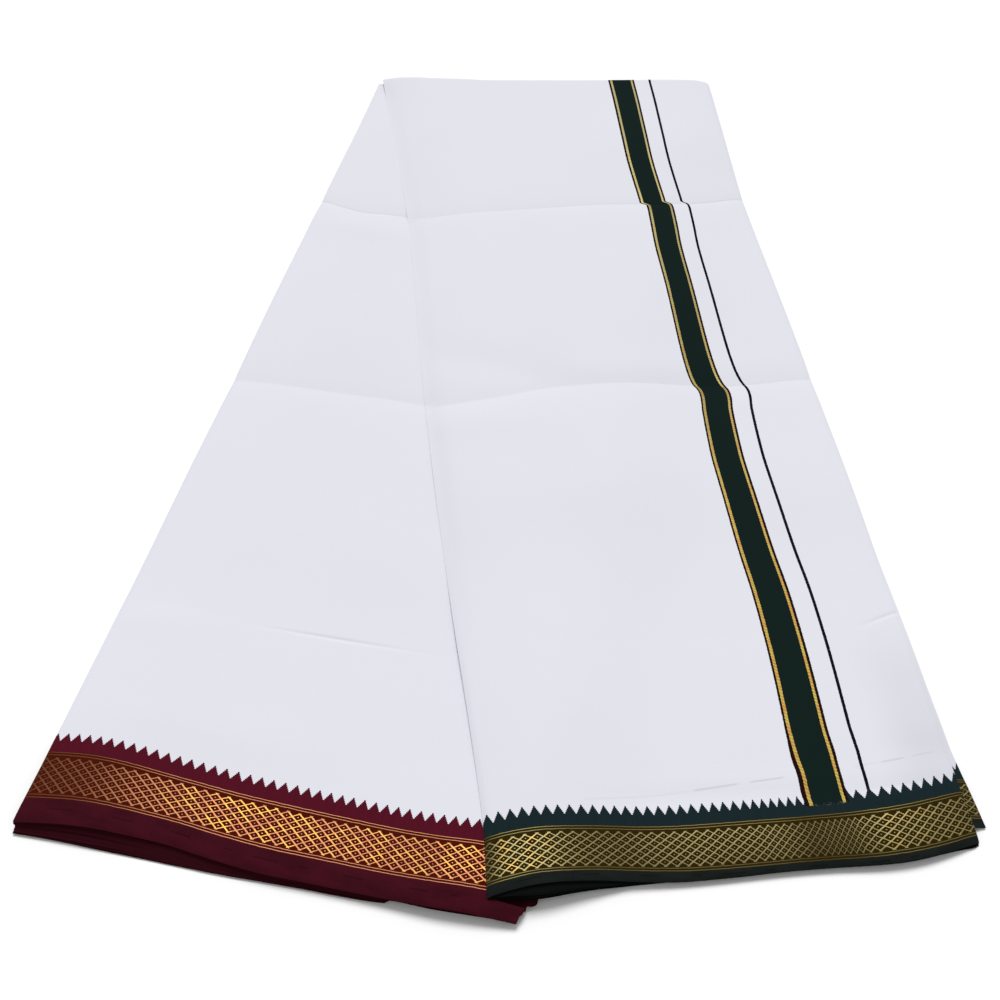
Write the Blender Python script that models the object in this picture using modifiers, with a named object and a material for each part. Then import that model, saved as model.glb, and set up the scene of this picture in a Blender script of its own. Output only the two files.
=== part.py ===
"""A cotton dhoti, folded flat.

The woven length is folded end to end four times, then selvedge to selvedge, so that it lies as
two halves of sixteen layers joined by one fold at the far end. The halves are fanned apart about
that fold: the lower half leans left and shows its maroon border, the upper half leans right and
shows its green one, with the end stripe running down it. Metres, +Z up, resting on z = 0; +Y
points away from the borders, towards the fold.

A point of either half is named by two shares: across, from its left side fold (0) to its right
side fold (1), and down, from the top fold (0) to the hem (1).
"""

import math

import bmesh
import bpy
from mathutils import Vector

# The woven cloth and how it is folded.
CLOTH_LENGTH = 3.65
CLOTH_WIDTH = 1.27
LAYERS = 16
HALF_WIDTH = CLOTH_LENGTH / LAYERS
HALF_HEIGHT = CLOTH_WIDTH / 2

# Thicknesses.
LOWER_THICKNESS = 0.0057
UPPER_THICKNESS = 0.0055
SKIN = 0.0010
GAP = 0.0003
HALF_GAP = GAP / 2
BURIED = SKIN + 0.0007

# Plan of each half: where its two side folds run. The last rows are the border's top and the hem.
# The tables' own origin lies this far from the middle of the whole cloth's box.
ORIGIN_X = 0.00235
ORIGIN_Y = -0.00266
# down, left x, left y, right x, right y
LOWER_PLAN = (
    (0.00, -0.0899, 0.3134, 0.1542, 0.3134),
    (0.25, -0.1205, 0.1762, 0.1116, 0.1315),
    (0.50, -0.1568, 0.0018, 0.0744, -0.0401),
    (0.75, -0.1860, -0.1377, 0.0428, -0.1792),
    (0.94, -0.2070, -0.2407, 0.0190, -0.2829),
    (1.00, -0.2156, -0.2750, 0.0110, -0.3175),
)
UPPER_PLAN = (
    (0.00, -0.0867, 0.3134, 0.1542, 0.3134),
    (0.25, -0.0612, 0.1570, 0.1638, 0.1754),
    (0.50, -0.0427, -0.0191, 0.1831, 0.0008),
    (0.75, -0.0254, -0.1530, 0.1974, -0.1416),
    (0.94, -0.0080, -0.2709, 0.2069, -0.2469),
    (1.00, -0.0055, -0.3106, 0.2109, -0.2836),
)

# How far the far fold bows away from the hem towards the left: across, rise.
FAR_BOW = (
    (0.00, 0.0066),
    (0.05, 0.0056),
    (0.10, 0.0036),
    (0.16, 0.0021),
    (0.25, 0.0013),
    (0.33, 0.0000),
    (1.00, 0.0000),
)
FAR_REACH = 0.14

# How far the borders bow towards the hem: across, at the hem, at the border's top.
LOWER_BOW = (
    (0.00, -0.0001, -0.0058),
    (0.09, -0.0021, -0.0066),
    (0.18, -0.0028, -0.0054),
    (0.30, -0.0024, -0.0027),
    (0.40, 0.0006, -0.0003),
    (0.49, 0.0028, 0.0011),
    (0.60, 0.0034, 0.0026),
    (0.80, 0.0045, 0.0046),
    (0.90, 0.0043, 0.0034),
    (1.00, 0.0040, 0.0020),
)
UPPER_BOW = (
    (0.00, 0.0009, 0.0026),
    (0.04, -0.0003, 0.0018),
    (0.10, -0.0016, 0.0016),
    (0.17, -0.0017, 0.0022),
    (0.25, -0.0010, 0.0030),
    (0.40, 0.0022, 0.0058),
    (0.60, 0.0030, 0.0082),
    (0.69, 0.0038, 0.0087),
    (0.80, 0.0054, 0.0086),
    (0.87, 0.0050, 0.0078),
    (0.93, 0.0032, 0.0058),
    (1.00, -0.0002, 0.0030),
)
BOW_REACH = 0.30

# Creases left by folding the height in four, and a soft one above the borders.
# down, depth, half width
CREASES = (
    (0.250, 0.0012, 0.0070),
    (0.500, 0.0010, 0.0080),
    (0.785, 0.0006, 0.0090),
    (0.925, 0.0004, 0.0080),
)
PILLOW_RISE = 0.0008

# The side folds round off and, towards the hem, stand proud of the middle of the half.
# left drop, left reach, right drop, right reach, puff
LOWER_SIDES = (0.0026, 0.012, 0.0026, 0.012, 0.0022)
UPPER_SIDES = (0.0034, 0.016, 0.0028, 0.014, 0.0012)
HEM_REACH_GAIN = 1.2
PUFF_PLACE = 0.034
PUFF_SPREAD = 0.022
HEM_DROP = 0.0010
HEM_REACH = 0.010
DRAPE_REACH = 0.050

# Borders, from the hem up.
LOWER_BORDER = 0.0435
UPPER_BORDER = 0.0370
LOWER_SEAM = 1.0 - LOWER_BORDER / HALF_HEIGHT
UPPER_SEAM = 1.0 - UPPER_BORDER / HALF_HEIGHT

# The end stripe: distance of its outer edge from the right side fold. It jogs at the creases.
# down, distance, width
STRIPE_PLACE = (
    (0.000, 0.0526, 0.0180),
    (0.123, 0.0546, 0.0180),
    (0.240, 0.0552, 0.0177),
    (0.262, 0.0510, 0.0178),
    (0.340, 0.0536, 0.0179),
    (0.474, 0.0549, 0.0185),
    (0.508, 0.0510, 0.0184),
    (0.590, 0.0550, 0.0182),
    (0.711, 0.0541, 0.0190),
    (0.756, 0.0530, 0.0194),
    (0.837, 0.0537, 0.0200),
    (0.912, 0.0549, 0.0215),
    (1.000, 0.0550, 0.0210),
)

# Hidden layers show at the edges as four bundles of each half, from the bottom one up.
# reach past the side folds, reach past the hem, share of the slipped reach
LOWER_BUNDLES = (
    (0.0002, 0.0002, 1.0),
    (0.0008, -0.0002, 0.95),
    (-0.0004, 0.0004, 0.0),
    (-0.0002, -0.0002, 0.0),
)
UPPER_BUNDLES = (
    (-0.0006, -0.0004, 1.0),
    (0.0004, -0.0006, 1.0),
    (-0.0002, -0.0006, 0.0),
    (-0.0002, -0.0002, 0.0),
)
# The lower bundles have slipped past the hem of the upper ones, or lie back from it: across, reach.
LOWER_SLIP = (
    (0.00, 0.0034),
    (0.09, 0.0055),
    (0.18, 0.0066),
    (0.31, 0.0065),
    (0.38, 0.0049),
    (0.44, 0.0034),
    (0.50, 0.0019),
    (0.59, 0.0010),
    (0.75, -0.0003),
    (1.00, -0.0006),
)
UPPER_SLIP = (
    (0.00, 0.0000),
    (0.10, 0.0030),
    (0.24, 0.0009),
    (0.40, -0.0006),
    (0.84, -0.0006),
    (1.00, -0.0004),
)
BUNDLE_GROOVE = 0.0009
RIM = BURIED + BUNDLE_GROOVE
GROUND = 0.0003

# Steps of the surfaces: from a side fold, from the hem, and between.
EDGE_STEPS = (0.0, 0.0008, 0.0035, 0.0090, 0.0180, 0.0340)
HEM_STEPS = (0.0, 0.0010, 0.0045, 0.0110)
ROW_STEPS = 16
CLOSEST_ROWS = 0.008
BORDER_STEPS = 3
FOLD_STEPS = 10
FOLD_TURN = 0.83 * math.pi

WHITE = (0.86, 0.87, 0.91, 1.0)
MAROON = (0.10, 0.006, 0.018, 1.0)
GREEN = (0.010, 0.030, 0.030, 1.0)


def smooth_step(value):
    t = min(1.0, max(0.0, value))
    return t * t * (3.0 - 2.0 * t)


def rounded(distance, reach):
    """0 on an edge, 1 from reach inwards, along a quarter of an ellipse."""
    t = min(1.0, max(0.0, distance / reach))
    return math.sqrt(1.0 - (1.0 - t) ** 2)


def hump(distance, half_width):
    return math.exp(-((distance / half_width) ** 2))


def read_table(table, place, column):
    """A smooth curve through one column of a table whose first column is the place."""
    last = len(table) - 1
    row = 0
    while row < last - 1 and place > table[row + 1][0]:
        row += 1
    start, end = table[row], table[row + 1]
    before, after = table[max(row - 1, 0)], table[min(row + 2, last)]
    span = end[0] - start[0]
    slope_in = (end[column] - before[column]) / (end[0] - before[0]) * span
    slope_out = (after[column] - start[column]) / (after[0] - start[0]) * span
    t = (place - start[0]) / span
    if t > 1.0:
        return end[column] + (t - 1.0) * slope_out
    return (
        start[column] * (2 * t**3 - 3 * t**2 + 1)
        + slope_in * (t**3 - 2 * t**2 + t)
        + end[column] * (3 * t**2 - 2 * t**3)
        + slope_out * (t**3 - t**2)
    )


def bow(bows, across, down):
    """How far a border's threads lie towards the hem of the straight line between its side folds."""
    near = smooth_step((down - 1.0 + BOW_REACH) / BOW_REACH)
    share = min(1.0, max(0.0, (1.0 - down) * HALF_HEIGHT / UPPER_BORDER))
    at = min(1.0, max(0.0, across))
    return near * (read_table(bows, at, 1) * (1.0 - share) + read_table(bows, at, 2) * share)


def plan(table, bows, across, down):
    """The x and y of a half's point; shares past 0 and 1 reach past its edges."""
    left_x, left_y, right_x, right_y = (read_table(table, down, c) for c in (1, 2, 3, 4))
    x = ORIGIN_X + left_x + across * (right_x - left_x)
    y = ORIGIN_Y + left_y + across * (right_y - left_y)
    far = read_table(FAR_BOW, min(1.0, max(0.0, across)), 1) * (1.0 - smooth_step(down / FAR_REACH))
    return x, y - bow(bows, across, down) + far


def lower_place(across, down):
    return plan(LOWER_PLAN, LOWER_BOW, across, down)


def upper_place(across, down):
    return plan(UPPER_PLAN, UPPER_BOW, across, down)


def crease_relief(down):
    """Height lost in the creases and gained as a soft pillow between them."""
    loss = sum(
        depth * hump((down - place) * HALF_HEIGHT, half_width)
        for place, depth, half_width in CREASES
    )
    return PILLOW_RISE * math.sin(math.pi * 4.0 * min(down, 1.0)) ** 2 - loss


def edge_relief(sides, across, down):
    """Height lost at the side folds and the hem, and gained where the side folds puff up."""
    left_drop, left_reach, right_drop, right_reach, puff = sides
    from_left = across * HALF_WIDTH
    from_right = (1.0 - across) * HALF_WIDTH
    near_hem = smooth_step((down - 0.55) / 0.40)
    gain = 1.0 + HEM_REACH_GAIN * near_hem
    drop = left_drop * (1.0 - rounded(from_left, left_reach * gain))
    drop += right_drop * (1.0 - rounded(from_right, right_reach * gain))
    drop += HEM_DROP * (1.0 - rounded((1.0 - down) * HALF_HEIGHT, HEM_REACH))
    rise = hump(from_left - PUFF_PLACE, PUFF_SPREAD) + hump(from_right - PUFF_PLACE, PUFF_SPREAD)
    return puff * (0.35 + 0.65 * near_hem) * rise - drop


def lower_face(across, down):
    """The outer face of the lower half's outermost layer."""
    x, y = lower_place(across, down)
    z = LOWER_THICKNESS + crease_relief(down) + edge_relief(LOWER_SIDES, across, down)
    return Vector((x, y, z))


def lower_right_fold(y):
    """The x of the lower half's right side fold at this y."""
    steps = 60
    previous = lower_place(1.0, 0.0)
    for step in range(1, steps + 1):
        current = lower_place(1.0, step / steps)
        if current[1] <= y:
            share = (y - previous[1]) / (current[1] - previous[1])
            return previous[0] + min(1.0, max(0.0, share)) * (current[0] - previous[0])
        previous = current
    return previous[0]


def ground_under_upper(x, y):
    """The height that the upper half lies at: on the lower half, and down to the surface past it."""
    past = (x - lower_right_fold(y)) / DRAPE_REACH
    return GROUND + LOWER_THICKNESS * (1.0 - smooth_step(0.25 + 0.75 * past))


def upper_face(across, down):
    """The outer face of the upper half's outermost layer."""
    x, y = upper_place(across, down)
    z = ground_under_upper(x, y) + UPPER_THICKNESS
    z += crease_relief(down) + edge_relief(UPPER_SIDES, across, down)
    return Vector((x, y, z))


def inwards(face, across, down, depth):
    """The point this far under an outer face, square to it."""
    step = 1e-3
    across_low, across_high = max(across - step, 0.0), min(across + step, 1.0)
    down_low, down_high = max(down - step, 0.0), min(down + step, 1.0)
    along = face(across_high, down) - face(across_low, down)
    away = face(across, down_low) - face(across, down_high)
    normal = along.cross(away).normalized()
    return face(across, down) - depth * normal


def spread(count, low=0.0, high=1.0):
    """count + 1 even places from low to high."""
    return [low + (high - low) * step / count for step in range(count + 1)]


def columns(middle_steps, low=0.0, high=1.0):
    """Places across a half, close together where its side folds round off."""
    left = [low + distance / HALF_WIDTH for distance in EDGE_STEPS]
    right = [high - distance / HALF_WIDTH for distance in reversed(EDGE_STEPS)]
    return left + spread(middle_steps, left[-1], right[0])[1:-1] + right


def rows(low, high):
    """Places down a half, with three rows on each crease."""
    places = set(spread(ROW_STEPS))
    for crease, _, half_width in CREASES:
        beside = half_width / HALF_HEIGHT
        places = {p for p in places if abs(p - crease) > 1.5 * beside}
        places.update((crease - beside, crease, crease + beside))
    inside = {p for p in places if low + CLOSEST_ROWS < p < high - CLOSEST_ROWS}
    return sorted(inside | {low, high})


def hem_rows(seam, hem=1.0):
    """Places down a border, from its seam to the hem, where the hem rounds off."""
    beside = [hem - distance / HALF_HEIGHT for distance in reversed(HEM_STEPS)]
    return spread(BORDER_STEPS, seam, beside[0])[:-1] + beside


def new_object(name, bm, color):
    mesh = bpy.data.meshes.new(name)
    bm.to_mesh(mesh)
    bm.free()
    mesh.shade_smooth()
    mesh.set_sharp_from_angle(angle=math.radians(40.0))
    obj = bpy.data.objects.new(name, mesh)
    collection.objects.link(obj)
    material = bpy.data.materials.new(name)
    material.use_nodes = True
    shader = material.node_tree.nodes["Principled BSDF"]
    shader.inputs["Base Color"].default_value = color
    shader.inputs["Roughness"].default_value = 0.9
    shader.inputs["Metallic"].default_value = 0.0
    mesh.materials.append(material)
    return obj


def block(counts, place):
    """A closed block with these numbers of steps along its three ways, its corners at place(i, j, k)."""
    bm = bmesh.new()
    corners = {}

    def corner(i, j, k):
        if (i, j, k) not in corners:
            corners[i, j, k] = bm.verts.new(place(i, j, k))
        return corners[i, j, k]

    for axis in range(3):
        first, second = [other for other in range(3) if other != axis]
        for end in (0, counts[axis]):
            for a in range(counts[first]):
                for b in range(counts[second]):
                    ring = []
                    for step_a, step_b in ((0, 0), (1, 0), (1, 1), (0, 1)):
                        index = [0, 0, 0]
                        index[axis] = end
                        index[first] = a + step_a
                        index[second] = b + step_b
                        ring.append(corner(*index))
                    bm.faces.new(ring)
    bmesh.ops.recalc_face_normals(bm, faces=bm.faces)
    return bm


def wall(name, color, grid):
    """A wall of cloth under the rows of points in grid."""
    last_column, last_row = len(grid[0]) - 1, len(grid) - 1
    bm = bmesh.new()
    bmesh.ops.create_grid(bm, x_segments=last_column, y_segments=last_row, size=0.5)
    for vertex in bm.verts:
        column = round((0.5 + vertex.co.x) * last_column)
        row = round((0.5 - vertex.co.y) * last_row)
        vertex.co = grid[row][column]
    solidify = new_object(name, bm, color).modifiers.new("thickness", "SOLIDIFY")
    solidify.thickness = SKIN
    solidify.offset = -1.0


def skin(name, color, face, downs, columns_at):
    """A stretch of the outermost layer, with columns_at(down) its places across."""
    wall(name, color, [[face(across, down) for across in columns_at(down)] for down in downs])


def bundle_levels(bundles):
    """(height share, side reach, hem reach, slip) up the edge: each bundle bulges between two grooves."""
    count = len(bundles)
    levels = []
    for number, (side, hem, slip) in enumerate(bundles):
        levels.append((number / count, side - BUNDLE_GROOVE, hem - BUNDLE_GROOVE, slip))
        levels.append(((number + 0.5) / count, side, hem, slip))
    levels.append((1.0, -BUNDLE_GROOVE, -BUNDLE_GROOVE, 0.0))
    return levels


def hidden_half(name, face, place_at, bundles, slips, downs, middle_steps, floor_at):
    """The hidden layers of one half, down to the surface, layered at the sides and the hem."""
    levels = bundle_levels(bundles)
    rim_across = RIM / HALF_WIDTH
    acrosses = columns(middle_steps, rim_across, 1.0 - rim_across)
    last_column, last_row = len(acrosses) - 1, len(downs) - 1

    def place(i, j, k):
        across, down = acrosses[i], downs[j]
        top = inwards(face, across, down, BURIED)
        height, side_reach, hem_reach, slip = levels[k - 1] if k else (0.0, *levels[0][1:])
        side = {0: -1.0, last_column: 1.0}.get(i, 0.0)
        across += side * (side_reach + BUNDLE_GROOVE) / HALF_WIDTH
        if j == last_row:
            slipped = slip * read_table(slips, min(1.0, max(0.0, across)), 1)
            down += (hem_reach + slipped + BUNDLE_GROOVE) / HALF_HEIGHT
        x, y = place_at(across, down)
        floor = floor_at(x, y)
        if j == 0:
            floor = 0.0
            radius = face(acrosses[i], down).z / 2
            level = top.z * height - radius
            y += math.sqrt(max(0.0, (radius - SKIN - GAP) ** 2 - level**2))
        if k == 0:
            return Vector((x, y, 0.0))
        if k == len(levels):
            rim = side != 0.0 or j in (0, last_row)
            return Vector((x, y, top.z)) if rim else top
        return Vector((x, y, floor + (top.z - floor) * height))

    return new_object(name, block((last_column, last_row, len(levels)), place), WHITE)


def join(target, other):
    """target becomes the union of both, as a plain mesh."""
    cut = target.modifiers.new("union", "BOOLEAN")
    cut.operation = "UNION"
    cut.object = other
    bpy.context.view_layer.update()
    evaluated = target.evaluated_get(bpy.context.evaluated_depsgraph_get())
    joined = bpy.data.meshes.new_from_object(evaluated)
    target.modifiers.clear()
    target.data = joined
    bpy.data.objects.remove(other)
    return target


def folded_layers():
    """Everything under the outermost layers, as one rounded solid with layered edges."""
    lower = hidden_half(
        "folded_layers",
        lower_face,
        lower_place,
        LOWER_BUNDLES,
        LOWER_SLIP,
        rows(0.02, LOWER_SEAM) + hem_rows(LOWER_SEAM, 1.0 - RIM / HALF_HEIGHT)[1:],
        10,
        lambda x, y: GROUND,
    )
    upper = hidden_half(
        "upper_layers",
        upper_face,
        upper_place,
        UPPER_BUNDLES,
        UPPER_SLIP,
        rows(0.0, UPPER_SEAM) + hem_rows(UPPER_SEAM, 1.0 - RIM / HALF_HEIGHT)[1:],
        14,
        ground_under_upper,
    )
    return join(lower, upper)


def upper_left_fold(y):
    """The x of the upper half's left side fold at this y, carried straight on past its hem."""
    steps = 60
    previous = upper_place(0.0, 0.0)
    for step in range(1, steps + 1):
        current = upper_place(0.0, step / steps)
        if current[1] <= y or step == steps:
            share = max(0.0, (y - previous[1]) / (current[1] - previous[1]))
            return previous[0] + share * (current[0] - previous[0])
        previous = current


def meets_upper(down):
    """The share across the lower half where the upper half's left side fold crosses it, or 1."""
    low, high = 0.0, 1.0
    for _ in range(30):
        middle = (low + high) / 2
        x, y = lower_place(middle, down)
        if x < upper_left_fold(y):
            low = middle
        else:
            high = middle
    return high


def stripe_edge(down, outer):
    """The share across the upper half of the end stripe's outer or inner edge."""
    from_side = read_table(STRIPE_PLACE, down, 1) + (0.0 if outer else read_table(STRIPE_PLACE, down, 2))
    return 1.0 - from_side / HALF_WIDTH


def lower_field_columns(down):
    """From the left side fold to where the upper half lies on it."""
    left = [distance / HALF_WIDTH for distance in EDGE_STEPS]
    limit = meets_upper(down)
    inner = [place for place in left if place < limit]
    return inner + spread(len(left) + 4 - len(inner), inner[-1], limit)[1:]


def upper_field_columns(down):
    """From the left side fold to the end stripe."""
    left = [distance / HALF_WIDTH for distance in EDGE_STEPS]
    return left + spread(8, left[-1], stripe_edge(down, False) - HALF_GAP / HALF_WIDTH)[1:]


def stripe_columns(down):
    inner = stripe_edge(down, False) + HALF_GAP / HALF_WIDTH
    outer = stripe_edge(down, True) - HALF_GAP / HALF_WIDTH
    return spread(2, inner, outer)


def end_field_columns(down):
    """From the end stripe to the right side fold."""
    right = [1.0 - distance / HALF_WIDTH for distance in reversed(EDGE_STEPS)]
    inner = stripe_edge(down, True) + HALF_GAP / HALF_WIDTH
    return spread(2, inner, right[0])[:-1] + right


def outermost_layer():
    """The stretches of the layer that shows: fields, borders and end stripe of both halves."""
    gap = HALF_GAP / HALF_HEIGHT
    lower_downs = rows(0.06, LOWER_SEAM - gap)
    upper_downs = rows(0.004, UPPER_SEAM - gap)
    lower_hem = hem_rows(LOWER_SEAM + gap)
    upper_hem = hem_rows(UPPER_SEAM + gap)
    skin("lower_field", WHITE, lower_face, lower_downs, lower_field_columns)
    skin("upper_field", WHITE, upper_face, upper_downs, upper_field_columns)
    skin("end_stripe", GREEN, upper_face, upper_downs, stripe_columns)
    skin("end_field", WHITE, upper_face, upper_downs, end_field_columns)
    skin(
        "lower_border",
        MAROON,
        lower_face,
        lower_hem,
        lambda down: columns(10, 0.0, meets_upper(down)),
    )
    skin("upper_border", GREEN, upper_face, upper_hem, lambda down: columns(16))


def top_fold():
    """The outermost layer round the far fold, from the upper face down to the surface."""
    acrosses = columns(8)
    grid = []
    for turn in spread(FOLD_STEPS, 0.0, FOLD_TURN):
        row = []
        for across in reversed(acrosses):
            radius = upper_face(across, 0.0).z / 2
            x, y = upper_place(across, 0.0)
            out, up = radius * math.sin(turn), radius * math.cos(turn)
            row.append(Vector((x, y + GAP + out, radius + up)))
        grid.append(row)
    wall("top_fold", WHITE, grid)


for old in list(bpy.data.objects):
    bpy.data.objects.remove(old)
collection = bpy.data.collections.new("folded_dhoti")
bpy.context.scene.collection.children.link(collection)

folded_layers()
outermost_layer()
top_fold()
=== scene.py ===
"""Looks of the folded dhoti cloth: thin woven shells, layered edges, borders, end stripe, light and camera."""

import collections
import math

import bpy
import numpy as np
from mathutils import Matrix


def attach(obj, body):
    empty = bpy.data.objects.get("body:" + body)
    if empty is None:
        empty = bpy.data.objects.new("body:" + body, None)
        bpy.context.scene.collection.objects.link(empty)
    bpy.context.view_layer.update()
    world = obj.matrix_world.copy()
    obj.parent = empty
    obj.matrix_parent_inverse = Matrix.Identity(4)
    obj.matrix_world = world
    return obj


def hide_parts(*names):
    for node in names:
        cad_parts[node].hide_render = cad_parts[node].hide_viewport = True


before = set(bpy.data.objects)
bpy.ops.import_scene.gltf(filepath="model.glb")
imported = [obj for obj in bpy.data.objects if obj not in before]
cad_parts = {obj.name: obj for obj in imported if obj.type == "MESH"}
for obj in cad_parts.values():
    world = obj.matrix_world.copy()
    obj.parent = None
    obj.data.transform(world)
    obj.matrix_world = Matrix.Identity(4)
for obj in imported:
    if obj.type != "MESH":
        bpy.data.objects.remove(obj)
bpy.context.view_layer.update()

# Cloth and folding, in metres.
CLOTH_LENGTH = 3.65
CLOTH_WIDTH = 1.27
LAYERS = 16
HALF_WIDTH = CLOTH_LENGTH / LAYERS
HALF_HEIGHT = CLOTH_WIDTH / 2
SHELL = 0.00036
LOWER_THICKNESS = 0.0057
UPPER_THICKNESS = 0.0055
GROUND = 0.0003
ORIGIN = (0.00235, -0.00266)

# down, left x, left y, right x, right y
LOWER_PLAN = (
    (0.00, -0.0899, 0.3134, 0.1542, 0.3134),
    (0.25, -0.1205, 0.1762, 0.1116, 0.1315),
    (0.50, -0.1568, 0.0018, 0.0744, -0.0401),
    (0.75, -0.1860, -0.1377, 0.0428, -0.1792),
    (0.94, -0.2070, -0.2407, 0.0190, -0.2829),
    (1.00, -0.2156, -0.2750, 0.0110, -0.3175),
)
UPPER_PLAN = (
    (0.00, -0.0867, 0.3134, 0.1542, 0.3134),
    (0.25, -0.0612, 0.1570, 0.1638, 0.1754),
    (0.50, -0.0427, -0.0191, 0.1831, 0.0008),
    (0.75, -0.0254, -0.1530, 0.1974, -0.1416),
    (0.94, -0.0080, -0.2709, 0.2069, -0.2469),
    (1.00, -0.0055, -0.3106, 0.2109, -0.2836),
)

# How far the far fold bows away from the hem towards the left: across, rise.
FAR_BOW = (
    (0.00, 0.0066),
    (0.05, 0.0056),
    (0.10, 0.0036),
    (0.16, 0.0021),
    (0.25, 0.0013),
    (0.33, 0.0000),
    (1.00, 0.0000),
)
FAR_REACH = 0.14

# How far the borders bow towards the hem: across, at the hem, at the border's top.
LOWER_BOW = (
    (0.00, -0.0001, -0.0058),
    (0.09, -0.0021, -0.0066),
    (0.18, -0.0028, -0.0054),
    (0.30, -0.0024, -0.0027),
    (0.40, 0.0006, -0.0003),
    (0.49, 0.0028, 0.0011),
    (0.60, 0.0034, 0.0026),
    (0.80, 0.0045, 0.0046),
    (0.90, 0.0043, 0.0034),
    (1.00, 0.0040, 0.0020),
)
UPPER_BOW = (
    (0.00, 0.0009, 0.0026),
    (0.04, -0.0003, 0.0018),
    (0.10, -0.0016, 0.0016),
    (0.17, -0.0017, 0.0022),
    (0.25, -0.0010, 0.0030),
    (0.40, 0.0022, 0.0058),
    (0.60, 0.0030, 0.0082),
    (0.69, 0.0038, 0.0087),
    (0.80, 0.0054, 0.0086),
    (0.87, 0.0050, 0.0078),
    (0.93, 0.0032, 0.0058),
    (1.00, -0.0002, 0.0030),
)
BOW_REACH = 0.30

# The creases left by folding the height in four: the path of each, as across, down; then its depth,
# the width of its slopes, and how deep its own sharp line is at the left and at the right.
LOWER_CREASES = (
    (
        ((0.0, 0.2463), (0.06, 0.2540), (0.13, 0.2600), (0.21, 0.2585), (1.0, 0.2560)),
        0.0012, 0.0062, 0.00032, 0.00006,
    ),
    (
        ((0.0, 0.4935), (0.23, 0.4938), (0.41, 0.4940), (0.48, 0.4954), (1.0, 0.4960)),
        0.0013, 0.0080, 0.00004, 0.00012,
    ),
    (
        ((0.0, 0.7794), (0.28, 0.7834), (0.33, 0.7875), (0.64, 0.7862), (1.0, 0.7860)),
        0.0001, 0.0090, 0.00000, 0.00002,
    ),
)
UPPER_CREASES = (
    (
        ((0.0, 0.2500), (0.07, 0.2565), (0.30, 0.2550), (0.565, 0.2534), (0.83, 0.2575), (1.0, 0.2430)),
        0.0011, 0.0066, 0.00008, 0.00030,
    ),
    (
        ((0.0, 0.5014), (0.14, 0.5019), (0.345, 0.4894), (0.68, 0.4928), (0.83, 0.4954), (1.0, 0.4900)),
        0.0015, 0.0085, 0.00005, 0.00016,
    ),
    (
        ((0.0, 0.8090), (0.31, 0.8040), (0.60, 0.7985), (0.926, 0.7940), (1.0, 0.7825)),
        0.00006, 0.0100, 0.00000, 0.00002,
    ),
)
CREASE_LINE = 0.0008
CREASE_ROUNDING = 0.0016
# How far from a crease, as a share down, the rows of a grid still follow it.
CREASE_HOLD = 0.045
# The rows' usual step and their step on a crease, and where the one passes into the other.
ROW_STEP, ROW_CLOSE = 0.0034, 0.00055
ROW_NEAR, ROW_BLEND = 0.0015, 0.012
# Soft troughs and ridges: across, down, half length across, half width, turn, height.
LOWER_DENTS = (
    (0.16, 0.285, 0.050, 0.010, 0.10, 0.0006),
    (0.48, 0.7868, 0.026, 0.0010, 0.00, -0.00045),
    (0.10, 0.800, 0.030, 0.012, 0.00, 0.0004),
    (0.55, 0.700, 0.060, 0.030, 0.30, 0.0005),
    (0.30, 0.620, 0.070, 0.035, -0.20, -0.0005),
    (0.20, 0.420, 0.050, 0.030, 0.10, 0.0006),
    (0.30, 0.900, 0.060, 0.014, -0.10, 0.0004),
    (0.72, 0.880, 0.040, 0.018, 0.15, -0.0005),
)
UPPER_DENTS = (
    (0.20, 0.462, 0.055, 0.012, 0.35, -0.0009),
    (0.13, 0.530, 0.050, 0.016, 0.10, 0.0007),
    (0.60, 0.470, 0.060, 0.010, 0.00, 0.0005),
    (0.75, 0.150, 0.060, 0.030, 0.10, 0.0006),
    (0.35, 0.130, 0.060, 0.030, -0.10, -0.0006),
    (0.55, 0.620, 0.080, 0.040, 0.20, 0.0006),
    (0.30, 0.700, 0.060, 0.040, -0.20, -0.0005),
    (0.80, 0.700, 0.040, 0.040, 0.10, -0.0006),
    (0.93, 0.860, 0.022, 0.022, 0.10, -0.0009),
    (0.965, 0.788, 0.012, 0.0011, -0.408, -0.00040),
    (0.50, 0.9350, 0.050, 0.0040, -0.02, -0.0006),
    (0.64, 0.9290, 0.040, 0.0050, 0.00, 0.0005),
    (0.86, 0.9420, 0.026, 0.0030, 0.05, -0.0005),
    (0.96, 0.9180, 0.020, 0.0080, 0.30, -0.0006),
)
# The cloth rises a little between the creases, in quarters of the height.
PILLOWS = 4.0
PILLOW_RISE = 0.0008

# How the side folds round off: down, left drop, left reach, right drop, right reach, puff inside them.
LOWER_SIDES = (
    (0.00, 0.0008, 0.012, 0.0026, 0.012, 0.0006),
    (0.06, 0.0022, 0.012, 0.0026, 0.012, 0.0006),
    (0.14, 0.0026, 0.012, 0.0026, 0.012, 0.0006),
    (0.55, 0.0026, 0.014, 0.0026, 0.012, 0.0008),
    (0.90, 0.0024, 0.020, 0.0026, 0.024, 0.0020),
    (1.00, 0.0008, 0.018, 0.0026, 0.026, 0.0022),
)
UPPER_SIDES = (
    (0.00, 0.0034, 0.030, 0.0028, 0.014, 0.0004),
    (0.08, 0.0046, 0.048, 0.0028, 0.014, 0.0004),
    (0.30, 0.0048, 0.050, 0.0028, 0.014, 0.0005),
    (0.50, 0.0045, 0.040, 0.0028, 0.016, 0.0007),
    (0.62, 0.0042, 0.030, 0.0028, 0.018, 0.0008),
    (0.85, 0.0034, 0.030, 0.0028, 0.028, 0.0012),
    (1.00, 0.0034, 0.034, 0.0026, 0.030, 0.0012),
)
PUFF_PLACE = 0.034
PUFF_SPREAD = 0.022
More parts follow.
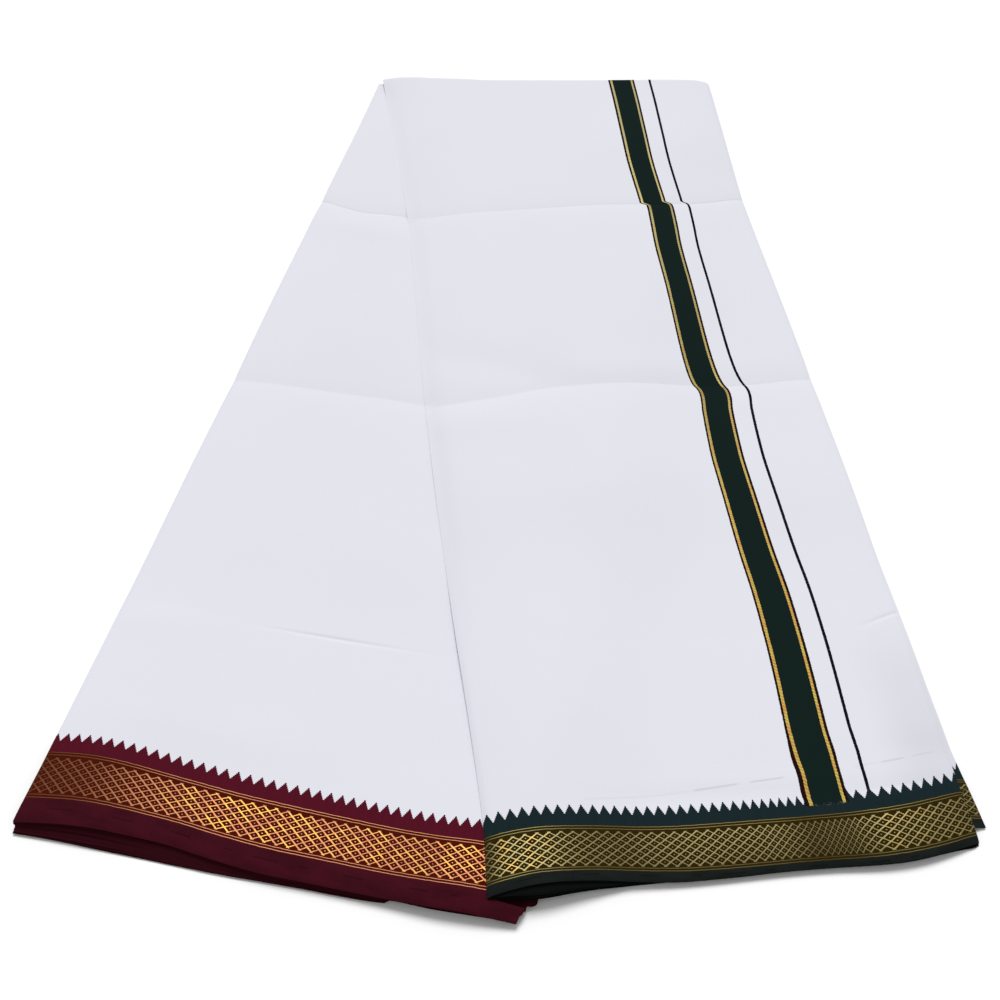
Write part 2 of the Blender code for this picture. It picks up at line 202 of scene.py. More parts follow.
# How the hem rounds off: across, drop, reach.
LOWER_HEM = (
    (0.00, 0.0006, 0.010),
    (0.50, 0.0012, 0.012),
    (0.80, 0.0014, 0.012),
    (1.00, 0.0020, 0.014),
)
UPPER_HEM = (
    (0.00, 0.0008, 0.010),
    (0.20, 0.0008, 0.010),
    (0.30, 0.0020, 0.018),
    (0.42, 0.0030, 0.024),
    (0.90, 0.0030, 0.024),
    (1.00, 0.0024, 0.024),
)
# The upper half comes down past the lower half's right end: over what distance, and how far on it is there.
DRAPE_REACH = 0.050
DRAPE_START = 0.25
# The upper half's left side fold lies down on the lower half along its far part.
SETTLE_REACH = 0.0120
SETTLE_FROM = 0.03
SETTLE_DOWN = (0.60, 0.86)
SETTLE_GAP = SHELL * 0.3

LOWER_BORDER = 0.0435
UPPER_BORDER = 0.0370

# down, distance of the stripe's outer edge from the right side fold, its width
STRIPE_PLACE = (
    (0.000, 0.0526, 0.0180),
    (0.047, 0.0531, 0.0180),
    (0.123, 0.0546, 0.0180),
    (0.175, 0.0556, 0.0179),
    (0.219, 0.0554, 0.0177),
    (0.2500, 0.0549, 0.0177),
    (0.2540, 0.0546, 0.0177),
    (0.2570, 0.0513, 0.0177),
    (0.2610, 0.0508, 0.0178),
    (0.266, 0.0508, 0.0179),
    (0.294, 0.0519, 0.0181),
    (0.323, 0.0534, 0.0179),
    (0.375, 0.0540, 0.0178),
    (0.447, 0.0552, 0.0182),
    (0.474, 0.0549, 0.0185),
    (0.489, 0.0534, 0.0187),
    (0.499, 0.0511, 0.0184),
    (0.510, 0.0509, 0.0184),
    (0.528, 0.0526, 0.0181),
    (0.583, 0.0549, 0.0182),
    (0.610, 0.0552, 0.0182),
    (0.662, 0.0547, 0.0186),
    (0.711, 0.0541, 0.0190),
    (0.756, 0.0530, 0.0194),
    (0.800, 0.0531, 0.0197),
    (0.837, 0.0537, 0.0200),
    (0.873, 0.0546, 0.0205),
    (0.890, 0.0550, 0.0208),
    (0.910, 0.0547, 0.0218),
    (0.922, 0.0550, 0.0210),
    (0.948, 0.0550, 0.0212),
    (0.975, 0.0550, 0.0180),
    (1.000, 0.0550, 0.0180),
)
STRIPE_NOMINAL = 0.0540
STRIPE_WIDTH = 0.0180
STRIPE_PULL = 0.010
STRIPE_AT = HALF_WIDTH - STRIPE_NOMINAL
# Towards the right the upper border stands taller above a narrower selvedge, and this fades out above it.
TALLER_FROM, TALLER_SPAN = 0.30, 0.28
TALLER_LIFT = 0.0014
TALLER_SHARE = 0.062
TALLER_FADE = 0.030
THIN_LINE = 0.0107

# Where the layers under the outermost one end: across, reach past the outermost one's hem.
LOWER_UNDER = (
    (0.000, 0.0036),
    (0.090, 0.0057),
    (0.180, 0.0068),
    (0.310, 0.0067),
    (0.380, 0.0050),
    (0.440, 0.0035),
    (0.500, 0.0020),
    (0.590, 0.0012),
    (0.650, 0.0009),
    (0.749, -0.0003),
    (0.757, -0.0019),
    (0.850, -0.0017),
    (1.000, -0.0017),
)
UPPER_UNDER = (
    (0.000, 0.0001),
    (0.045, 0.0020),
    (0.100, 0.0036),
    (0.174, 0.0023),
    (0.243, 0.0011),
    (0.305, -0.0003),
    (0.406, -0.0017),
    (0.690, -0.0016),
    (0.842, -0.0015),
    (0.917, -0.0016),
    (0.959, -0.0008),
    (0.991, 0.0004),
    (1.000, 0.0000),
)
# The lower half's right end steps back in a stair near the hem: height above the hem, reach.
LOWER_STAIR = (
    (0.0000, -0.0042),
    (0.0036, -0.0034),
    (0.0041, -0.0027),
    (0.0054, -0.0024),
    (0.0059, -0.0016),
    (0.0082, -0.0014),
    (0.0089, 0.0008),
    (0.0095, 0.0022),
    (0.0125, 0.0026),
    (0.0145, 0.0020),
    (0.0240, 0.0006),
    (0.0400, 0.0000),
    (0.1000, 0.0000),
)
STAIR_TUCK = 0.0022
# The second layer of the upper half, shifted up and past the outermost one's right end:
# height above its own hem, reach.
SECOND_RISE = 0.0078
SECOND_REACH = (
    (0.000, 0.0061),
    (0.020, 0.0048),
    (0.036, 0.0034),
    (0.046, 0.0027),
    (0.060, 0.0024),
    (0.100, 0.0018),
    (0.140, 0.0010),
    (0.200, -0.0006),
)
SECOND_HEIGHT = 0.200
SECOND_WIDTH = 0.030
SECOND_ROWS = 60
SECOND_GAP = 0.0002
SECOND_SLOPE = 0.25
SECOND_LOWEST = 0.0008

SHARP_ANGLE = 50.0
EDGE_STEPS = 120
HALVINGS = 40

FLOOR_SIZE, FLOOR_DROP = 6.0, 0.0002
SKY_STRENGTH = 0.45
SUN_ENERGY = 2.17
SUN_ANGLE = 30.0
SUN_FROM = (0.0, 0.74, 1.30)
CAMERA_HEIGHT = 0.530
CAMERA_BACK = 0.5390
CAMERA_PITCH = 49.3
CAMERA_LENS = 46.44
SENSOR = 36.0


def smooth_step(value):
    t = np.clip(value, 0.0, 1.0)
    return t * t * (3.0 - 2.0 * t)


def rounded(distance, reach):
    """0 on an edge, 1 from reach inwards, along a quarter of an ellipse."""
    t = np.clip(distance / reach, 0.0, 1.0)
    return np.sqrt(1.0 - (1.0 - t) ** 2)


def hump(distance, half_width):
    return np.exp(-((distance / half_width) ** 2))


def read_table(table, place, column):
    """A smooth curve through one column of a table whose first column is the place."""
    rows = np.array(table)
    x, y = rows[:, 0], rows[:, column]
    slope = np.empty_like(y)
    slope[1:-1] = (y[2:] - y[:-2]) / (x[2:] - x[:-2])
    slope[0] = (y[1] - y[0]) / (x[1] - x[0])
    slope[-1] = (y[-1] - y[-2]) / (x[-1] - x[-2])
    place = np.asarray(place, float)
    i = np.clip(np.searchsorted(x, place, side="right") - 1, 0, len(x) - 2)
    span = x[i + 1] - x[i]
    t = (place - x[i]) / span
    inside = (
        y[i] * (2 * t**3 - 3 * t**2 + 1)
        + slope[i] * span * (t**3 - 2 * t**2 + t)
        + y[i + 1] * (3 * t**2 - 2 * t**3)
        + slope[i + 1] * span * (t**3 - t**2)
    )
    after = y[-1] + slope[-1] * (place - x[-1])
    before = y[0] + slope[0] * (place - x[0])
    return np.where(place > x[-1], after, np.where(place < x[0], before, inside))


def bow(table, across, down):
    """How far a border's threads lie towards the hem of the straight line between its side folds."""
    near = smooth_step((down - 1.0 + BOW_REACH) / BOW_REACH)
    share = np.clip((1.0 - down) * HALF_HEIGHT / UPPER_BORDER, 0.0, 1.0)
    at = np.clip(across, 0.0, 1.0)
    return near * (read_table(table, at, 1) * (1 - share) + read_table(table, at, 2) * share)


def plan(table, bows, across, down):
    """Where a place on a half lies on the surface."""
    left_x, left_y, right_x, right_y = (read_table(table, down, c) for c in (1, 2, 3, 4))
    x = ORIGIN[0] + left_x + across * (right_x - left_x)
    y = ORIGIN[1] + left_y + across * (right_y - left_y)
    far = read_table(FAR_BOW, np.clip(across, 0.0, 1.0), 1) * (1.0 - smooth_step(down / FAR_REACH))
    return x, y - bow(bows, across, down) + far


def lower_place(across, down):
    return plan(LOWER_PLAN, LOWER_BOW, across, down)


def upper_place(across, down):
    return plan(UPPER_PLAN, UPPER_BOW, across, down)


def crease_relief(creases, dents, across, down):
    """Height lost in the creases and their soft troughs, and gained as a soft pillow between them."""
    height = PILLOW_RISE * np.sin(math.pi * PILLOWS * np.clip(down, 0.0, 1.0)) ** 2
    at = np.clip(across, 0.0, 1.0)
    for path, depth, slope, line_left, line_right in creases:
        away = (down - read_table(path, at, 1)) * HALF_HEIGHT
        line = line_left + (line_right - line_left) * at
        height = height - depth * np.exp(-np.sqrt(away**2 + CREASE_ROUNDING**2) / slope)
        height = height - line * hump(away, CREASE_LINE)
    for place, row, length, width, turn, rise in dents:
        x = (across - place) * HALF_WIDTH
        y = (down - row) * HALF_HEIGHT
        along = x * math.cos(turn) + y * math.sin(turn)
        aside = y * math.cos(turn) - x * math.sin(turn)
        height = height + rise * np.exp(-((along / length) ** 2) - (aside / width) ** 2)
    return height


def follow_creases(creases, across, down):
    """Moves the rows of a grid so that they run along the creases."""
    moved = down + 0.0 * across
    for path, *_ in creases:
        middle = path[len(path) // 2][1]
        near = np.exp(-(((down - middle) / CREASE_HOLD) ** 4))
        moved = moved + near * (read_table(path, np.clip(across, 0.0, 1.0), 1) - middle)
    return moved


def crease_rows(creases, low, high):
    """Places down a half, close together on its creases."""
    middles = [path[len(path) // 2][1] for path, *_ in creases]
    places, place = [low], low
    while place < high:
        away = min(abs(place - middle) for middle in middles) * HALF_HEIGHT
        gap = ROW_CLOSE + (ROW_STEP - ROW_CLOSE) * float(smooth_step((away - ROW_NEAR) / ROW_BLEND))
        place += gap / HALF_HEIGHT
        places.append(place)
    places = np.array(places)
    return low + (places - low) * (high - low) / (places[-1] - low)


def edge_relief(sides, hem, across, down, soft=0.0):
    """Height lost at the side folds and the hem, and gained inside the folds.

    With soft at 1 the left fold slopes down instead of rounding off.
    """
    left_drop, left_reach, right_drop, right_reach, puff = (
        read_table(sides, np.clip(down, 0.0, 1.0), column) for column in range(1, 6)
    )
    hem_drop, hem_reach = (read_table(hem, np.clip(across, 0.0, 1.0), column) for column in (1, 2))
    from_left = across * HALF_WIDTH
    from_right = (1.0 - across) * HALF_WIDTH
    sloped = np.clip(1.0 - from_left / left_reach, 0.0, 1.0) ** 2
    drop = left_drop * ((1.0 - soft) * (1.0 - rounded(from_left, left_reach)) + soft * sloped)
    drop = drop + right_drop * (1.0 - rounded(from_right, right_reach))
    drop = drop + hem_drop * (1.0 - rounded((1.0 - down) * HALF_HEIGHT, hem_reach))
    rise = hump(from_left - PUFF_PLACE, PUFF_SPREAD) + hump(from_right - PUFF_PLACE, PUFF_SPREAD)
    return puff * rise - drop


def points(x, y, z):
    return np.stack(np.broadcast_arrays(x, y, z), axis=-1)


def lower_face(across, down):
    x, y = lower_place(across, down)
    z = LOWER_THICKNESS + crease_relief(LOWER_CREASES, LOWER_DENTS, across, down)
    z = z + edge_relief(LOWER_SIDES, LOWER_HEM, across, down)
    return points(x, y, z)


fold_steps = np.linspace(0.0, 1.0, EDGE_STEPS)
lower_right_x, lower_right_y = lower_place(1.0, fold_steps)
upper_left_x, upper_left_y = upper_place(0.0, fold_steps)


def ground_under_upper(x, y):
    """What the upper half lies on: the lower half, and past its right end the surface."""
    edge = np.interp(-y, -lower_right_y, lower_right_x)
    past = (x - edge) / DRAPE_REACH
    return GROUND + LOWER_THICKNESS * (1.0 - smooth_step(DRAPE_START + (1.0 - DRAPE_START) * past))


def upper_face(across, down):
    x, y = upper_place(across, down)
    z = ground_under_upper(x, y) + UPPER_THICKNESS
    z = z + crease_relief(UPPER_CREASES, UPPER_DENTS, across, down)
    low, high = SETTLE_DOWN
    soft = smooth_step((high - down) / (high - low))
    z = z + edge_relief(UPPER_SIDES, UPPER_HEM, across, down, soft)
    touch = GROUND + LOWER_THICKNESS + crease_relief(LOWER_CREASES, (), 0.5 + 0 * across, down) + SETTLE_GAP
    near = np.clip(1.0 - across * HALF_WIDTH / SETTLE_REACH, 0.0, 1.0) ** 2
    z = z - near * soft * smooth_step(down / SETTLE_FROM) * np.maximum(z - touch, 0.0)
    return points(x, y, z)


def meets_upper(down):
    """The share across the lower half where the upper half's left side fold crosses it, or 1."""
    low, high = np.zeros_like(down), np.ones_like(down)
    for _ in range(HALVINGS):
        middle = (low + high) / 2
        x, y = lower_place(middle, down)
        edge = np.where(y < upper_left_y[-1], 1.0, np.interp(-y, -upper_left_y, upper_left_x))
        inside = x < edge
        low, high = np.where(inside, middle, low), np.where(inside, high, middle)
    return high


def grid_normals(grid):
    along = np.gradient(grid, axis=1)
    away = np.gradient(grid, axis=0)
    normal = np.cross(away, along)
    return normal / np.linalg.norm(normal, axis=-1, keepdims=True)


def new_object(name, verts, faces, uvs, material):
    """uvs holds one pair for each vertex, in metres of cloth."""
    mesh = bpy.data.meshes.new(name)
    mesh.from_pydata(verts.tolist(), [], faces.tolist())
    layer = mesh.uv_layers.new(name="cloth")
    loops = np.empty(len(mesh.loops), np.int32)
    mesh.loops.foreach_get("vertex_index", loops)
    layer.data.foreach_set("uv", uvs[loops].astype(np.float32).ravel())
    mesh.materials.append(material)
    mesh.shade_smooth()
    mesh.set_sharp_from_angle(angle=math.radians(SHARP_ANGLE))
    obj = bpy.data.objects.new(name, mesh)
    bpy.context.scene.collection.objects.link(obj)
    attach(obj, "root")
    return obj


def grid_faces(rows, cols, start=0, flip=False):
    index = start + np.arange(rows * cols).reshape(rows, cols)
    quads = np.stack([index[:-1, :-1], index[1:, :-1], index[1:, 1:], index[:-1, 1:]], axis=-1)
    quads = quads.reshape(-1, 4)
    return quads[:, ::-1] if flip else quads


def ring_of(rows, cols):
    """Indices of a grid's outline, once round."""
    index = np.arange(rows * cols).reshape(rows, cols)
    return np.concatenate([index[:-1, 0], index[-1, :-1], index[:0:-1, -1], index[0, :0:-1]])


def shell(name, grid, uv, material):
    """A closed thin shell whose upper side is the grid of points."""
    rows, cols = grid.shape[:2]
    under = grid - SHELL * grid_normals(grid)
    verts = np.concatenate([grid.reshape(-1, 3), under.reshape(-1, 3)])
    count = rows * cols
    ring = ring_of(rows, cols)
    after = np.roll(ring, -1)
    rim = np.stack([ring, ring + count, after + count, after], axis=-1)
    faces = np.concatenate([grid_faces(rows, cols), grid_faces(rows, cols, count, True), rim])
    uvs = np.concatenate([uv.reshape(-1, 2)] * 2)
    return new_object(name, verts, faces, uvs, material)


def leaf_uv(across, down):
    """Metres of cloth from the left side fold, and above the hem."""
    return np.stack([across * HALF_WIDTH, (1.0 - down) * HALF_HEIGHT], axis=-1)


def upper_uv(across, down):
    """As leaf_uv, but even along the end stripe, which jogs at the creases and widens towards its foot."""
    u = across * HALF_WIDTH + read_table(STRIPE_PLACE, down, 1) - STRIPE_NOMINAL
    width = read_table(STRIPE_PLACE, down, 2)
    into = STRIPE_AT - u
    evened = into * STRIPE_WIDTH / width
    past = into - width
    beyond = into - (width - STRIPE_WIDTH) * np.exp(-np.maximum(past, 0.0) / STRIPE_PULL)
    u = STRIPE_AT - np.where(into < 0.0, into, np.where(past < 0.0, evened, beyond))
    v = (1.0 - down) * HALF_HEIGHT
    share = smooth_step((across - TALLER_FROM) / TALLER_SPAN)
    share = share * (1.0 - smooth_step((v - UPPER_BORDER) / TALLER_FADE))
    return np.stack([u, v + share * (TALLER_LIFT - TALLER_SHARE * v)], axis=-1)


def leaf(name, face, uv_at, creases, downs, left, right, columns, material):
    """A stretch of a half's outermost layer between two edges, each a share across for every down."""
    share = np.linspace(0.0, 1.0, columns)[None, :]
    across = left(downs)[:, None] * (1 - share) + right(downs)[:, None] * share
    down = follow_creases(creases, across, downs[:, None])
    across = left(down) * (1 - share) + right(down) * share
    grid = face(across, down)
    return shell(name, grid, uv_at(across, down), material)


class Wire:
    """One value in a material's node tree; plain arithmetic on it adds Math nodes."""

    def __init__(self, tree, socket):
        self.tree, self.socket = tree, socket

    def math(self, operation, *others):
        node = self.tree.nodes.new("ShaderNodeMath")
        node.operation = operation
        for slot, value in enumerate((self, *others)):
            if isinstance(value, Wire):
                self.tree.links.new(value.socket, node.inputs[slot])
            else:
                node.inputs[slot].default_value = value
        return Wire(self.tree, node.outputs[0])

    def __add__(self, other):
        return self.math("ADD", other)

    def __sub__(self, other):
        return self.math("SUBTRACT", other)

    def __mul__(self, other):
        return self.math("MULTIPLY", other)

    def __truediv__(self, other):
        return self.math("DIVIDE", other)

    def above(self, edge):
        return self.math("GREATER_THAN", edge)

    def below(self, edge):
        return self.math("LESS_THAN", edge)

    def within(self, low, high):
        return self.above(low) * self.below(high)

    def near(self, middle, half):
        return self.within(middle - half, middle + half)

    def most(self, other):
        return self.math("MAXIMUM", other)

    def from_whole(self):
        """Distance to the nearest whole number."""
        return self.math("PINGPONG", 0.5)

    def stepped(self, step):
        return self.math("SNAP", step)

    def ramp(self, low, high):
        """0 at low to 1 at high, with soft ends."""
        node = self.tree.nodes.new("ShaderNodeMapRange")
        node.interpolation_type = "SMOOTHSTEP"
        self.tree.links.new(self.socket, node.inputs["Value"])
        node.inputs["From Min"].default_value = low
        node.inputs["From Max"].default_value = high
        return Wire(self.tree, node.outputs["Result"])

    def curve(self, *stops):
        """Straight lines through (place, value) stops, with places and values from 0 to 1."""
        node = self.tree.nodes.new("ShaderNodeValToRGB")
        elements = node.color_ramp.elements
        while len(elements) < len(stops):
            elements.new(0.5)
        for element, (place, value) in zip(elements, stops):
            element.position = place
            element.color = (value, value, value, 1.0)
        self.tree.links.new(self.socket, node.inputs["Fac"])
        return Wire(self.tree, node.outputs["Color"])


def mixed(tree, share, first, second):
    """first where share is 0, second where it is 1; each is a colour or a socket."""
    node = tree.nodes.new("ShaderNodeMix")
    node.data_type = "RGBA"
    tree.links.new(share.socket, node.inputs["Factor"])
    for name, value in (("A", first), ("B", second)):
        socket = next(i for i in node.inputs if i.name == name and i.type == "RGBA")
        if isinstance(value, tuple):
            socket.default_value = (*value, 1.0)
        else:
            tree.links.new(value, socket)
    return next(o for o in node.outputs if o.type == "RGBA")


def noise(tree, vector, scale, detail=2.0):
    node = tree.nodes.new("ShaderNodeTexNoise")
    node.inputs["Scale"].default_value = scale
    node.inputs["Detail"].default_value = detail
    tree.links.new(vector, node.inputs["Vector"])
    return Wire(tree, node.outputs["Fac"])


def stretched(tree, u, v, along_u=1.0, along_v=1.0):
    node = tree.nodes.new("ShaderNodeCombineXYZ")
    tree.links.new((u * along_u).socket, node.inputs["X"])
    tree.links.new((v * along_v).socket, node.inputs["Y"])
    return node.outputs["Vector"]


def shaded(color, share):
    return tuple(channel * share for channel in color)


def new_material(name):
    """A new material, its node tree and its shader."""
    material = bpy.data.materials.new(name)
    material.use_nodes = True
    return material, material.node_tree, material.node_tree.nodes["Principled BSDF"]


MM = 1000.0
BLACK = (0.0, 0.0, 0.0)
COTTON = (0.740, 0.744, 0.806)
# Painted highlight: the colour of the zari's painted glints.
PAINTED_GLINT = (0.84, 0.47, 0.085)
THREAD_PITCH = 0.55
BUMP_STRENGTH, BUMP_HEIGHT = 0.35, 0.00016

# Woven borders. Heights are in mm above the hem; upper_lines and lower_lines are the bars beside the lattice.
# drift is how far the pattern lies to the right of an even weave (place across, mm). The zari's painted sheen
# and shade says how bright it is painted at each place (place across, share); the under-hem shade says how dark
# the layers' own edges under the hem are painted, as a share of the selvedge's colour. The half widths are the
# bars' in mm, then the lines' and dots' as shares of a cell.
ROWS_OF_CELLS = 9
LINE_HALF = 0.16
BOLD_HALF, FINE_HALF, DOT_HALF = 0.100, 0.076, 0.074
SPIKE_STEP = 0.85
SPIKE_POINT = 0.11
DRIFT_SPAN = 12.0
# Painted shade: a broken dark line where the next layer's edge ends under the selvedge, at this share of its height.
SELVEDGE_STEP_SHADE = 0.56
Border = collections.namedtuple(
    "Border",
    "pitch phase tip base upper_lines lattice_top lattice_bottom lower_lines skew bold_first drift gleam "
    "dye selvedge deep weft zari bar",
)
MAROON_BORDER = Border(
    pitch=5.35, phase=0.85, tip=43.9, base=39.25,
    upper_lines=(33.3, 32.0), lattice_top=30.2, lattice_bottom=13.9, lower_lines=(12.7, 11.4),
    skew=0.176, bold_first=False,
    drift=(
        (0.0, 0.0), (0.14, 0.0), (0.27, 0.75), (0.41, 2.1), (0.51, 2.7), (0.60, 2.2), (0.74, 0.7), (0.85, 0.0),
        (1.0, 0.0),
    ),
    gleam=(
        (0.0, 0.12), (0.1, 0.17), (0.18, 0.32), (0.27, 0.72), (0.36, 1.0), (0.5, 0.96), (0.62, 0.84),
        (0.80, 0.80), (0.92, 0.98),
    ),
    dye=(0.080, 0.0046, 0.0140), selvedge=(0.045, 0.0034, 0.0088), deep=0.66, weft=(0.060, 0.0050, 0.0005),
    zari=(0.61, 0.250, 0.115), bar=(0.50, 0.205, 0.115),
)
GREEN_BORDER = Border(
    pitch=5.25, phase=3.15, tip=36.3, base=31.6,
    upper_lines=(26.1, 24.8), lattice_top=23.2, lattice_bottom=7.2, lower_lines=(6.2, 5.0),
    skew=-0.10, bold_first=True,
    drift=(
        (0.0, -0.2), (0.04, 0.0), (0.14, 1.3), (0.23, 2.3), (0.34, 2.0), (0.46, 1.9), (0.55, 0.9), (0.63, -2.2),
        (0.76, -3.5), (0.80, -2.4), (0.84, -0.9), (1.0, -0.4),
    ),
    gleam=(
        (0.0, 0.22), (0.04, 0.82), (0.12, 0.74), (0.20, 0.40), (0.28, 0.24), (0.36, 0.30), (0.43, 0.42),
        (0.60, 0.40), (0.67, 0.05), (0.75, 0.12), (0.82, 0.66), (0.90, 0.70), (1.0, 0.60),
    ),
    dye=(0.0085, 0.0185, 0.0220), selvedge=(0.0095, 0.0125, 0.0110), deep=0.30, weft=(0.025, 0.0135, 0.0003),
    zari=(0.46, 0.395, 0.170), bar=(0.25, 0.235, 0.10),
)

STRIPE_GREEN = (0.0045, 0.0130, 0.0115)
STRIPE_GOLD = (0.315, 0.248, 0.052)
STRIPE_ORANGE = (0.32, 0.182, 0.042)
STRIPE_PALE = (0.42, 0.41, 0.20)
STRIPE_GAP = (0.10, 0.03, 0.004)
STRIPE_DARK = (0.012, 0.003, 0.004)
THREAD_GREY = (0.070, 0.080, 0.075)
LINE_DARK = (0.003, 0.004, 0.010)
# Widths of the dark threads and of the gilt line at the stripe's left and right edges, in mm. The dark threads
# at the left spread towards the foot and towards the far fold: from height, to height, by.
LEFT_DARK, LEFT_GOLD = 1.00, 1.45
RIGHT_DARK, RIGHT_GOLD = 1.25, 1.20
LEFT_SPREADS = ((78.0, 46.0, 0.9), (300.0, 560.0, 0.35))
THIN_LINE_HALF = 0.80
TWIST_PITCH, TWIST_LEAN = 2.2, 1.15
# How the dye rises, in mm: beside the stripe along a parabola, and to a point at the thin line.
FLARE_REACH, FLARE_RISE = 4.2, 0.40
POINT_RISE, POINT_SLOPE = 6.5, 2.6
# Where the lattice closes up: mm before the stripe, mm in all, mm gained, then place along it and share.
CLOSER_BEFORE, CLOSER_SPAN = 26.0, 52.0
CLOSER_GAIN = (STRIPE_WIDTH * MM + 5.0) * 0.75
CLOSER_ROWS = ((0.0, 0.0), (0.38, 0.15), (0.54, 0.30), (0.88, 0.92), (1.0, 1.0))
# Painted shade along small creases above the upper border, as faint broken dark lines: start, end and height in mm,
# slope, strength.
CREASE_SHADES = (
    (48.0, 101.0, 36.15, 0.069, 0.04), (101.0, 126.0, 36.15, 0.069, 0.13), (129.0, 150.0, 36.15, 0.069, 0.13),
    (180.0, 194.0, 42.9, 0.030, 0.05), (193.0, 208.0, 42.9, 0.030, 0.12), (209.0, 224.0, 42.9, 0.030, 0.06),
)
MARK_HALF = 0.5
MARK_FADE_IN, MARK_FADE_OUT = 3.0, 4.0


def zari_pattern(border, along, height):
    """The lattice's lines, the dots in its cells, and the bars above and below it."""
    tall = border.lattice_top - border.lattice_bottom
    fall = height * -1.0 + border.lattice_top
    skewed = (along - border.phase + fall * border.skew) / border.pitch
    drop = fall * (ROWS_OF_CELLS / (2.0 * tall))
    first, second = (skewed + drop).from_whole(), (skewed - drop).from_whole()
    bold, fine = (first, second) if border.bold_first else (second, first)
    lines = bold.below(BOLD_HALF).most(fine.below(FINE_HALF)) * fall.within(-0.35, tall + 0.35)
    dots = (first * -1.0 + 0.5).most(second * -1.0 + 0.5).below(DOT_HALF) * fall.within(0.9, tall - 0.9)
    bars = height.near(border.upper_lines[0], LINE_HALF)
    for line in (border.upper_lines[1], *border.lower_lines):
        bars = bars.most(height.near(line, LINE_HALF))
    return lines, dots, bars


def temple_spikes(border, along, v):
    """The dyed part of the border: spikes stepped by the threads, each with a fine point, and all below them."""
    place = ((along - border.phase) / border.pitch).from_whole() * 2.0
    rise = v.stepped(SPIKE_STEP) - border.base
    dyed = rise.below((place * -1.0 + 1.0) * (border.tip - border.base + 0.3))
    return dyed.most((v - border.base).below(place.below(SPIKE_POINT) * (border.tip - border.base + 0.5)))


def dye_color(tree, border, u, v, slub):
    """The dyed threads, darker along the selvedge; painted shade in a broken line where the layer under it ends and
    on the layers' edges below the hem.
    """
    edge_height = border.lower_lines[1]
    patch = noise(tree, stretched(tree, u, v, 1.0, 2.5), 0.06, 2.0).ramp(0.35, 0.65)
    edge = mixed(tree, (slub + patch) * 0.5, shaded(border.selvedge, 0.72), shaded(border.selvedge, 1.28))
    # Painted shade: a broken dark line where the layer under the selvedge ends.
    broken = noise(tree, stretched(tree, u, v, 1.0, 0.0), 0.075, 0.0).above(0.54)
    step_shade = v.near(edge_height * SELVEDGE_STEP_SHADE, 0.22) * broken
    edge = mixed(tree, step_shade * 0.6, edge, shaded(border.selvedge, 0.25))
    dye = mixed(tree, slub, shaded(border.dye, 0.75), shaded(border.dye, 1.25))
    dye = mixed(tree, v.ramp(edge_height + 0.4, edge_height - 0.8), dye, edge)
    # Painted shade: below the hem, on the layers' own edges, the selvedge is painted darker.
    return mixed(tree, v.below(-0.2), dye, shaded(border.selvedge, border.deep))


def zari_colors(tree, border, u, v):
    """The lattice's colour and the bars': metal thread painted bright or dark by place across as painted sheen and
    shade, with painted glints.
    """
    # Painted sheen and shade: the zari runs from a dark copy to its own colour by place across.
    painted_shine = (u / (HALF_WIDTH * MM)).curve(*border.gleam)
    painted_sparkle = noise(tree, stretched(tree, u, v), 1.9, 3.0).ramp(0.25, 0.75)
    zari_in_shade = shaded(border.zari, 0.16)
    zari = mixed(tree, painted_shine * (painted_sparkle * 0.5 + 0.5), zari_in_shade, border.zari)
    painted_glint = noise(tree, stretched(tree, u, v), 0.16, 4.0).ramp(0.46, 0.60) * (painted_shine - 0.60).most(0.0) * 1.7
    return mixed(tree, painted_glint, zari, PAINTED_GLINT), mixed(tree, painted_shine, zari_in_shade, border.bar)


